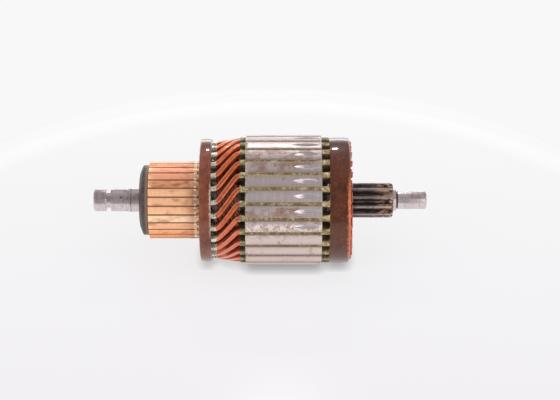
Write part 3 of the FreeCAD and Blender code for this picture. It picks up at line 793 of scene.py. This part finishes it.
def smoothed(line, window, step):
    # Moving average under a Hann window, with the line run on straight past both its ends.
    half = round(window / step / 2)
    before = line[0] + (line[0] - line[1]) * np.arange(half, 0, -1)[:, None]
    after = line[-1] + (line[-1] - line[-2]) * np.arange(1, half + 1)[:, None]
    padded = np.concatenate([before, line, after])
    weights = np.hanning(2 * half + 3)[1:-1]
    weights /= weights.sum()
    return np.stack([np.convolve(padded[:, column], weights, "valid") for column in range(4)], axis=-1)


def hairpinLine(w, angle):
    # The middle line is sampled on the unrolled winding, and its corners are rounded by a moving
    # average, wider where the bar leans.
    stations = hairpinStations(w)
    headShift, bendShift = rng.normal(0, 1, 4)[:2]
    stations[6:10, 0] += headShift * w["headWobble"]
    stations[3, 0] += bendShift * w["bendWobble"]
    unrolled = stations.copy()
    unrolled[:, 1] = np.radians(stations[:, 1]) * w["unrolledRadius"]
    lengths = np.linalg.norm(np.diff(unrolled[:, :3], axis=0), axis=1)
    distance = np.concatenate([[0], np.cumsum(lengths)])
    step = w["sample"]
    samples = np.arange(0, distance[-1] + step / 2, step)
    line = np.stack([np.interp(samples, distance, stations[:, column]) for column in range(4)], axis=-1)
    tight, wide = smoothed(line, w["bendWindow"], step), smoothed(line, w["leanWindow"], step)
    x = tight[:, :1]
    leaning = np.clip((x - w["bottomBend"]) / w["leanFade"], 0, 1)
    leaning = leaning * np.clip((w["frontBend"] + 2.0 - x) / w["leanFade"], 0, 1)
    x, turn, radius, full = (tight + (wide - tight) * leaning).T
    return x, turn + angle, radius, full


def hairpinRows(w, angle):
    # The section is carried along the middle line, upright to the shaft; in the tails and
    # risers it turns with the line instead. A row of points stands at every few degrees of bend,
    # and the rows are far apart where the bar runs straight.
    x, turn, radius, full = hairpinLine(w, angle)
    middle = onShaft(x, turn, radius) * 1000
    outward = np.stack([np.zeros_like(x), np.cos(np.radians(turn)), np.sin(np.radians(turn))], axis=-1)
    run = np.gradient(middle, axis=0)
    run /= np.linalg.norm(run, axis=1)[:, None]
    rise = np.sum(run * outward, axis=1)[:, None]
    inTail = (x < w["bottomBend"] + 0.5)[:, None]
    axial = np.array([1.0, 0, 0])[None, :]
    planar = outward * np.abs(run[:, :1]) - axial * rise * np.sign(run[:, :1])
    guide = np.where(inTail, planar, outward)
    up = guide - run * np.sum(run * guide, axis=1)[:, None]
    up /= np.linalg.norm(up, axis=1)[:, None]
    across = np.cross(run, up)
    bend = np.degrees(np.arccos(np.clip(np.sum(run[1:] * run[:-1], axis=1), -1, 1)))
    progress = np.concatenate([[0], np.cumsum(bend / w["rowBend"] + w["sample"] / w["rowSpacing"])])
    kept = np.concatenate([[0], np.nonzero(np.diff(np.floor(progress)))[0] + 1, [x.size - 1]])
    full = np.clip(full[kept], 0, 1)[:, None]
    halfWidth = (w["tailWidth"] + (w["width"] - w["tailWidth"]) * full) / 2
    halfHeight = (w["tailHeight"] + (w["height"] - w["tailHeight"]) * full) / 2
    section = roundedBox(1, -1, 1, w["corner"])
    side = np.sign(section)
    cornerShare = w["tailCorner"] + (1 - w["tailCorner"]) * full
    inset = (np.abs(section) - 1)[None] * cornerShare[..., None]
    a = side[None, :, 0] * (halfWidth + inset[..., 0])
    b = side[None, :, 1] * (halfHeight + inset[..., 1])
    return (middle[kept, None] + a[..., None] * across[kept, None] + b[..., None] * up[kept, None]) * 0.001


# How strong the painted highlight on the enamel's edges is: the curve of each corner, four points a corner,
# and most at the two corners of one side.
edgeHighlight = np.repeat([0.35, 1.0, 1.0, 0.35], 4) * np.tile([0, 1, 1, 0], 4)
for number in range(slotCount):
    rows = hairpinRows(winding, slotPhase + number * pitch)
    corners = np.tile(edgeHighlight, rows.shape[0])
    addPiece(f"hairpinBar{number + 1:02d}", [rows], finishes["winding"],
             [f"hairpin_{number + 1:02d}"], corner=corners)
print("winding made")


# Commutator

bars = {
    "front": 13.3, "length": 21.2, "radius": 17.0, "gap": 0.6, "foot": 11.15, "edge": 0.12,
    "notchLength": 1.8, "notchFloor": 12.35, "notchHalf": 0.85, "trackWear": 0.06,
    "trackStart": (0.9, 1.5), "trackEnd": (2.2, 1.2), "beadHalf": 1.6, "beadHeight": 3.4,
    "beadMiddle": 14.9, "beadLength": 1.3, "beadCorner": 0.5, "beadTaper": 0.8, "beadOverlap": 0.1,
}


def barRows(b, angle):
    # Outline of one bar carried along the shaft; the crown drops to the notch's floor at the
    # back, where the tails lie, and is a little worn where the brushes run, fading in and out
    # over the track's start and end.
    outer = math.degrees(math.radians(pitch / 2) - math.asin(b["gap"] / 2 / b["radius"]))
    inner = math.degrees(math.radians(pitch / 2) - math.asin(b["gap"] / 2 / b["foot"]))
    side = b["radius"] * math.radians(outer)
    edge, wall, step = b["edge"], b["notchHalf"], 0.01    # a wall is drawn as a slope two steps wide
    right = np.array([wall - step, wall + step, side - edge * 1.4, side - edge * 0.4, side])
    across = np.concatenate([-right[::-1], np.linspace(-0.7, 0.7, 5), right])
    crown = np.full(across.size, b["radius"])
    crown[[0, -1]] -= edge
    crown[[1, -2]] -= edge * 0.3
    outlineAngle = np.concatenate([np.degrees(across / b["radius"]), [inner, -inner]])
    front, back = b["front"], b["front"] + b["length"]
    notchFront = back - b["notchLength"]
    x = np.concatenate([[front, front + edge], front + np.array(b["trackStart"]),
                        notchFront - np.array(b["trackEnd"]), [notchFront - step, notchFront + step],
                        [back - edge, back]])
    wear = np.array([edge, 0, 0, b["trackWear"], b["trackWear"], 0, 0, 0, 0, edge])
    radii = np.concatenate([crown, [b["foot"], b["foot"]]])[None, :] - wear[:, None]
    radii[:, -2:] = b["foot"]
    inNotch = np.nonzero(np.abs(across) < b["notchHalf"])[0]
    radii[np.ix_(x > notchFront, inNotch)] = b["notchFloor"]
    return onShaft(x[:, None], angle + outlineAngle[None, :], radii)


def beadRows(b, angle):
    # Brazing metal between the bar's end and the band: a rounded box whose section shrinks
    # towards its back end as the square root of one less the square of the way along.
    along = np.linspace(0, 1, 7)
    size = np.sqrt(1 - (along * b["beadTaper"]) ** 2) * rng.uniform(0.94, 1.04)
    section = roundedBox(b["beadHalf"], -b["beadHeight"] / 2, b["beadHeight"] / 2, b["beadCorner"])
    across, up = section[:, 0] * size[:, None], section[:, 1] * size[:, None] + b["beadMiddle"]
    x = b["front"] + b["length"] - b["beadOverlap"] + along * b["beadLength"]
    turn = angle + np.degrees(np.arctan2(across, up))
    return onShaft(x[:, None], turn, np.hypot(across, up))


for number in range(slotCount):
    angle = barPhase + number * pitch
    addPiece(f"commutatorBar{number + 1:02d}", [barRows(bars, angle), beadRows(bars, angle)],
             finishes["bars"], [f"commutator_bar_{number + 1:02d}"])

hub = {"front": 9.1, "faceRadius": 12.0, "rimRadius": 15.4, "rimFront": 10.5, "barsFront": 13.3,
       "barsBack": 34.5, "finRadius": 16.4, "finHalf": 0.29, "seat": 5.2, "floor": 11.1,
       "corner": 0.45}


def hubRows(h):
    # A round nose, then one outline for all the fins: the radius stands at the fins' height
    # in the gaps between the bars and at the bars' feet elsewhere.
    fin = math.degrees(h["finHalf"] / h["finRadius"])
    local = np.array([-pitch / 2, -4.4, -2.2, -fin - 0.02, -fin, 0, fin, fin + 0.02, 2.2, 4.4])
    isFin = np.abs(local) <= fin
    angles = np.concatenate([barPhase + (number + 0.5) * pitch + local for number in range(slotCount)])
    finRow = np.tile(np.where(isFin, h["finRadius"], h["floor"]), slotCount)
    profile = rounded([(h["barsBack"], h["seat"]), (h["front"], h["seat"]), (h["front"], h["faceRadius"]),
                       (h["rimFront"], h["rimRadius"]), (h["barsFront"], h["rimRadius"]),
                       (h["barsFront"], h["floor"])], h["corner"])
    nose = onShaft(profile[:, 0][:, None], angles[None, :], profile[:, 1][:, None])
    finX = np.array([h["barsFront"], h["barsFront"] + 0.1, h["barsBack"] - 0.1, h["barsBack"]])
    fins = onShaft(finX[:, None], angles[None, :], finRow[None, :])
    return np.concatenate([nose, fins])


addPiece("commutatorMoulding", [hubRows(hub)], finishes["phenolic"], ["commutator_hub"],
         ring=True)
print("commutator made")


# Bands

bandSizes = {
    "commutatorEndBand": {"node": "commutator_end_band", "front": 35.8, "back": 40.9,
                          "radius": 27.1, "frontBore": 26.07, "backBore": 26.07, "phase": 3.0,
                          "finish": "frontBand"},
    "driveEndBand": {"node": "drive_end_band", "front": 92.08, "back": 100.88,
                     "radius": 27.7, "frontBore": 27.42, "backBore": 26.52, "phase": 9.0,
                     "finish": "rearBand"},
}
roving = {"shoulder": 0.7, "crown": 0.2, "swell": 0.02, "threadPitch": 1.1, "threadHeight": 0.006,
          "sunk": 0.04, "leastWall": 0.08, "sideHeight": 0.9, "sideBlend": 0.6}


def bandRows(b, r):
    # A ring with round shoulders and a slight crown: radius = top less crown times the square
    # of the distance from its middle; its outside also swells and sinks in three and in seven
    # waves round the axis, and its threads wind round it as a fine screw.
    front, back, top = b["front"], b["back"], b["radius"]
    shoulder = r["shoulder"]
    turn = np.linspace(0, math.pi / 2, 7)
    reach, drop = shoulder * (1 - np.sin(turn)), shoulder * (1 - np.cos(turn))
    x = np.concatenate([[front], (front + reach)[::-1],
                        np.linspace(front + shoulder, back - shoulder, 14)[1:-1], back - reach, [back]])
    radius = np.concatenate([[b["frontBore"]], (top - drop)[::-1], np.full(12, top), top - drop,
                             [b["backBore"]]])
    middle, half = (front + back) / 2, (back - front) / 2
    radius[1:-1] -= r["crown"] * ((x[1:-1] - middle) / half) ** 2
    floor = np.interp(x, [front, back], [b["frontBore"], b["backBore"]])
    radius = np.maximum(radius, floor + np.where((x == front) | (x == back), 0, r["leastWall"]))
    angles = np.linspace(0, 360, 324, endpoint=False)
    around = np.radians(angles)
    swell = (np.sin(around * 3 + b["phase"]) + np.sin(around * 7 + 2 * b["phase"])) * r["swell"]
    threads = np.sin(x[:, None] * 2 * math.pi / r["threadPitch"] + around[None, :]) * r["threadHeight"]
    outside = np.clip((radius - (top - r["sideHeight"])) / r["sideBlend"], 0, 1)[:, None]
    radii = radius[:, None] + (swell[None, :] + threads - r["sunk"]) * outside
    return onShaft(x[:, None], angles[None, :], radii)


for name, sizes in bandSizes.items():
    addPiece(name, [bandRows(sizes, roving)], finishes[sizes["finish"]], [sizes["node"]],
             ring=True)
print("bands made")


# Floor, light and camera

stage = {
    "floor": -28.75, "discRadius": 189.0, "discRim": 40.0, "discEdge": 0.6, "discThickness": 8.0,
    "discX": 68.0, "discY": -17.4, "sheetLeft": -1500.0, "sheetRight": 1600.0, "sheetFront": -200.0,
    "bendStart": 700.0, "bendRadius": 300.0, "sheetTop": 330.0,
}
acrylicLook = {"name": "white acrylic", "bounce": "#F3F1F3", "front": "#EFEDF0", "back": "#F8F8F8",
               "share": 0.88, "rough": 0.14, "specular": 0.4}
backdropLook = {"name": "backdrop paper", "bounce": "#B4B4B6", "front": "#F8F8F9", "back": "#F8F8F9",
                "share": 1.0, "rough": 0.8, "specular": 0.2}


def stageMaterial(look):
    # What the camera and the metal see of it is mostly its own white, a little paler to the
    # back and dimmed only where something stands close to it, as on acrylic lit from below.
    material, tree, shader, place = startMaterial(look["name"])
    shader.inputs["Base Color"].default_value = linear(look["bounce"])
    shader.inputs["Roughness"].default_value = look["rough"]
    shader.inputs["Specular IOR Level"].default_value = look["specular"]
    y = addNode(tree, "SeparateXYZ", [place])[1]
    far = addNode(tree, "MapRange", [y, -120.0, 160.0])[0]
    white = addNode(tree, "Mix", {0: far, 6: look["front"], 7: look["back"]}, data_type="RGBA")[2]
    near = addNode(tree, "AmbientOcclusion", {"Distance": 0.0046}, samples=8)["AO"]
    near = addNode(tree, "MapRange", [near, 0.0, 1.0, 0.33, 1.0])[0]
    glow = addNode(tree, "Emission", [white, near])[0]
    rays = addNode(tree, "LightPath")
    seen = addNode(tree, "Math", [rays["Is Camera Ray"], rays["Is Glossy Ray"]], operation="MAXIMUM")[0]
    seen = addNode(tree, "Math", [seen, rays["Is Transmission Ray"]], operation="MAXIMUM")[0]
    glowing = addNode(tree, "Math", [seen, look["share"]], operation="MULTIPLY")[0]
    both = addNode(tree, "MixShader", [glowing, shader.outputs[0], glow])[0]
    tree.links.new(both, tree.nodes["Material Output"].inputs[0])
    return material


def addStage(name, points, faces, material):
    mesh = bpy.data.meshes.new(name)
    mesh.from_pydata(points.reshape(-1, 3).tolist(), [], faces)
    mesh.shade_smooth()
    mesh.set_sharp_from_angle(angle=math.radians(60))
    mesh.materials.append(material)
    piece = bpy.data.objects.new(name, mesh)
    bpy.context.scene.collection.objects.link(piece)


def discRows(s):
    # A turntable: one circle at each corner of its section.
    angles = np.radians(np.linspace(0, 360, 180, endpoint=False))
    rim, low = s["discRadius"], s["floor"] - s["discThickness"]
    section = [(rim - s["discRim"], low), (rim, low), (rim, s["floor"] - s["discEdge"]),
               (rim - s["discEdge"], s["floor"]), (rim - s["discRim"], s["floor"])]
    rows = [np.stack([s["discX"] + radius * np.cos(angles), s["discY"] + radius * np.sin(angles),
                      np.full(angles.size, z)], axis=-1) for radius, z in section]
    return np.array(rows) * 0.001


def sheetRows(s):
    # Floor and backdrop in one open sheet, which bends up in a quarter circle.
    low = s["floor"] - s["discThickness"]
    turn = np.linspace(0, math.pi / 2, 12)
    back = s["bendStart"] + s["bendRadius"]
    y = np.concatenate([[s["sheetFront"]], s["bendStart"] + s["bendRadius"] * np.sin(turn), [back]])
    z = np.concatenate([[low], low + s["bendRadius"] * (1 - np.cos(turn)), [low + s["sheetTop"]]])
    sides = [np.stack([np.full(y.size, x), y, z], axis=-1) for x in (s["sheetLeft"], s["sheetRight"])]
    return np.stack(sides) * 0.001


disc, sheet = discRows(stage), sheetRows(stage)
count = sheet.shape[1]
sheetFaces = [[i, i + count, i + count + 1, i + 1] for i in range(count - 1)]
addStage("turntable", disc, skin(disc), stageMaterial(acrylicLook))
addStage("backdrop", sheet, sheetFaces, stageMaterial(backdropLook))

# What lights the armature is brightest from the front. What its metal mirrors is palest above
# and behind it and darker towards the camera; the ramp runs from behind it to the camera.
studio = {
    "seen": "#FBFBFB", "towardsCamera": (0.0, -0.9, 0.436), "towardsLight": (0.0, -0.8, 0.6),
    "leastLight": 0.4, "mostLight": 1.35,
    "mirrored": [(0.03, "#AAA6AA"), (0.2, "#CECCCF"), (0.45, "#C0BEC2"), (0.67, "#A8A6AA"),
                 (0.93, "#8A888E")],
}
world = bpy.data.worlds.new("studio")
bpy.context.scene.world = world
world.use_nodes = True
sky = world.node_tree
sky.nodes.clear()
direction = addNode(sky, "TexCoord")["Generated"]
toCamera = addNode(sky, "VectorMath", [direction, studio["towardsCamera"]],
                   operation="DOT_PRODUCT")["Value"]
toCamera = addNode(sky, "MapRange", [toCamera, -0.5, 1.0])[0]
mirrored = addNode(sky, "ValToRGB", [toCamera], stops=studio["mirrored"])[0]
mirrored = addNode(sky, "Background", [mirrored, 1.0])[0]
toLight = addNode(sky, "VectorMath", [direction, studio["towardsLight"]],
                  operation="DOT_PRODUCT")["Value"]
strength = addNode(sky, "MapRange", [toLight, -0.3, 0.8, studio["leastLight"], studio["mostLight"]])[0]
lit = addNode(sky, "Background", ["#FFFFFF", strength])[0]
seen = addNode(sky, "Background", [studio["seen"], 1.0])[0]
rays = addNode(sky, "LightPath")
room = addNode(sky, "MixShader", [rays["Is Glossy Ray"], lit, mirrored])[0]
room = addNode(sky, "MixShader", [rays["Is Camera Ray"], room, seen])[0]
addNode(sky, "OutputWorld", [room])

# Places and sizes of lamps and camera are in metres, power in watts, lens and film in millimetres.
lampTarget = (0.07, 0, 0)
lamps = {
    "lamp behind": {"place": (0.07, 0.60, 0.56), "size": (0.06, 0.06), "power": 0.75, "mirrored": True},
    "low lamp behind": {"place": (0.07, 0.66, 0.045), "size": (1.2, 0.14), "power": 1.0, "mirrored": True},
    "lamp on the right": {"place": (0.50, -0.85, 0.25), "size": (0.36, 0.9), "power": 2.0,
                          "mirrored": True},
    "lamp above": {"place": (0.3, -0.1, 1.0), "size": (0.5, 0.5), "power": 0.9, "mirrored": False},
}


def addSoftbox(name, lamp):  # an area lamp turned towards the armature's middle
    light = bpy.data.lights.new(name, "AREA")
    light.shape = "RECTANGLE"
    light.size, light.size_y = lamp["size"]
    light.energy = lamp["power"]
    holder = bpy.data.objects.new(name, light)
    x, y, z = np.array(lampTarget) - np.array(lamp["place"])
    holder.location = lamp["place"]
    holder.rotation_euler = (math.atan2(math.hypot(x, y), -z), 0, math.atan2(y, x) - math.pi / 2)
    holder.visible_glossy = lamp["mirrored"]
    holder.visible_camera = False
    bpy.context.scene.collection.objects.link(holder)


for name, lamp in lamps.items():
    addSoftbox(name, lamp)

view = {"distance": 0.78, "elevation": 30.0, "lookAtX": 0.0706, "lens": 113.4, "filmWidth": 36}
camera = bpy.data.objects.new("camera", bpy.data.cameras.new("camera"))
camera.data.lens = view["lens"]
camera.data.sensor_width = view["filmWidth"]
camera.data.clip_end = 10
tilt = math.radians(view["elevation"])
camera.location = (view["lookAtX"], -view["distance"] * math.cos(tilt), view["distance"] * math.sin(tilt))
camera.rotation_euler = (math.pi / 2 - tilt, 0, 0)
bpy.context.scene.collection.objects.link(camera)
bpy.context.scene.camera = camera
bpy.context.scene.view_settings.view_transform = "Standard"
print("stage made")
